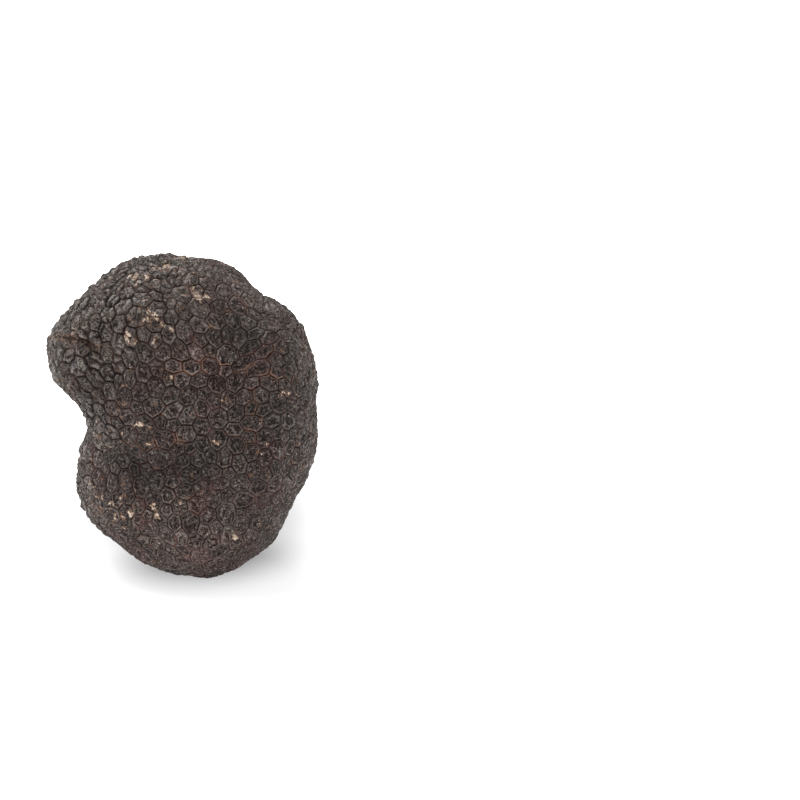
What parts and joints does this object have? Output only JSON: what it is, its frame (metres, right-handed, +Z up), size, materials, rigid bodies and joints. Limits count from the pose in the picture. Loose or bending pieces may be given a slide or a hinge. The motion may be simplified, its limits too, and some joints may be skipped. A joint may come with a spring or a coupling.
{
  "type": "black truffle",
  "caption": "Whole black truffle set upright: one lobed, knobbly dark brown fruit body covered with low polygonal warts, resting on a small flat spot on its underside.",
  "frame": {"origin": "middle of the small flat spot on the underside, at the surface that the truffle rests on", "axes": "+Z up, from the flat spot to the crown; -X towards the nose, the blunt lobe above the notch; -Y towards the flatter front with the broad furrow"},
  "size_m": [0.0469, 0.0411, 0.0559],
  "materials": {
    "truffle_skin": "dry, matte, dark brown warty skin with thin reddish-brown grooves and a few rubbed tan flecks"
  },
  "bodies": {
    "root": {"truffle": "truffle_skin"}
  },
  "joints": []
}
